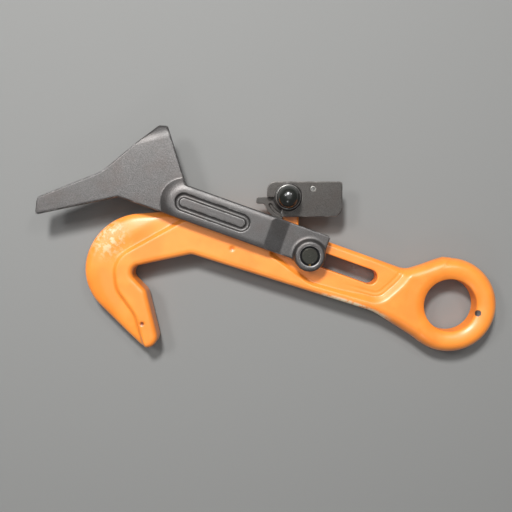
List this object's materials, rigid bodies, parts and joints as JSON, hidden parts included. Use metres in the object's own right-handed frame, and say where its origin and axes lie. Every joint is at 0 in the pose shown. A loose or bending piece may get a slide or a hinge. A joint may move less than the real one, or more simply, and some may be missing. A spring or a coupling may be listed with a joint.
{
  "type": "beam clamp",
  "caption": "Forged beam clamp: hook with right-angle throat and lifting eye, sliding and swinging fish-tail arm on a slotted shank, sprung stop plate with ball knob.",
  "frame": {"origin": "centre of the lifting eye's hole, on the forging's middle plane", "axes": "+X along the shank from the hook out past the eye, +Y to the shank's back edge, where the stop plate is, +Z to the side that carries the arm, along the eye's axis"},
  "size_m": [0.4423, 0.2099, 0.049],
  "materials": {
    "orange_paint": "gloss enamel over forged steel",
    "black_casting": "satin black over a cast surface",
    "black_plate": "satin blackened steel plate",
    "dark_pin": "turned and blackened",
    "bright_steel": "turned",
    "spring_steel": "oiled spring steel",
    "bronze": "machined bearing bronze",
    "brass": "machined",
    "black_knob": "polished moulded knob"
  },
  "bodies": {
    "hook": {"hook_body": "orange_paint", "lug_bush": "bronze", "index_plate": "black_plate", "index_rivets": "bright_steel"},
    "slider": {"slot_pin": "dark_pin", "slot_bush": "bronze", "front_thrust_washer": "bright_steel", "rear_washer": "bright_steel", "rear_snap_ring": "spring_steel", "front_snap_ring": "spring_steel"},
    "arm": {"clamp_arm": "black_casting", "arm_bush": "bronze"},
    "lock": {"lock_hub": "dark_pin", "lock_plate": "black_plate", "stop_pin": "bright_steel", "hub_washer": "bright_steel", "hub_snap_ring": "spring_steel"},
    "knob": {"plunger": "bright_steel", "plunger_spring": "spring_steel", "plunger_washer": "bright_steel", "plunger_clip": "spring_steel", "knob_collar": "bright_steel", "index_pin": "bright_steel", "knob_insert": "brass", "ball_knob": "black_knob"}
  },
  "joints": [
    {"name": "slot_slide", "type": "slide", "parent": "hook", "child": "slider", "axis": [1, 0, 0], "range_m": [0, 0.061]},
    {"name": "arm_swing", "type": "hinge", "parent": "slider", "child": "arm", "pos_m": [-0.1435, 0, 0], "axis": [0, 0, 1], "range_deg": [0, 75]},
    {"name": "lock_turn", "type": "hinge", "parent": "hook", "child": "lock", "pos_m": [-0.18, 0.0445, 0], "axis": [0, 0, 1], "range_deg": [-19.65, 150]},
    {"name": "knob_pull", "type": "slide", "parent": "lock", "child": "knob", "axis": [0, 0, 1], "range_m": [0, 0.005], "stiffness_N_per_m": 2500, "springref_m": -0.004, "deforming": ["plunger_spring"]}
  ]
}
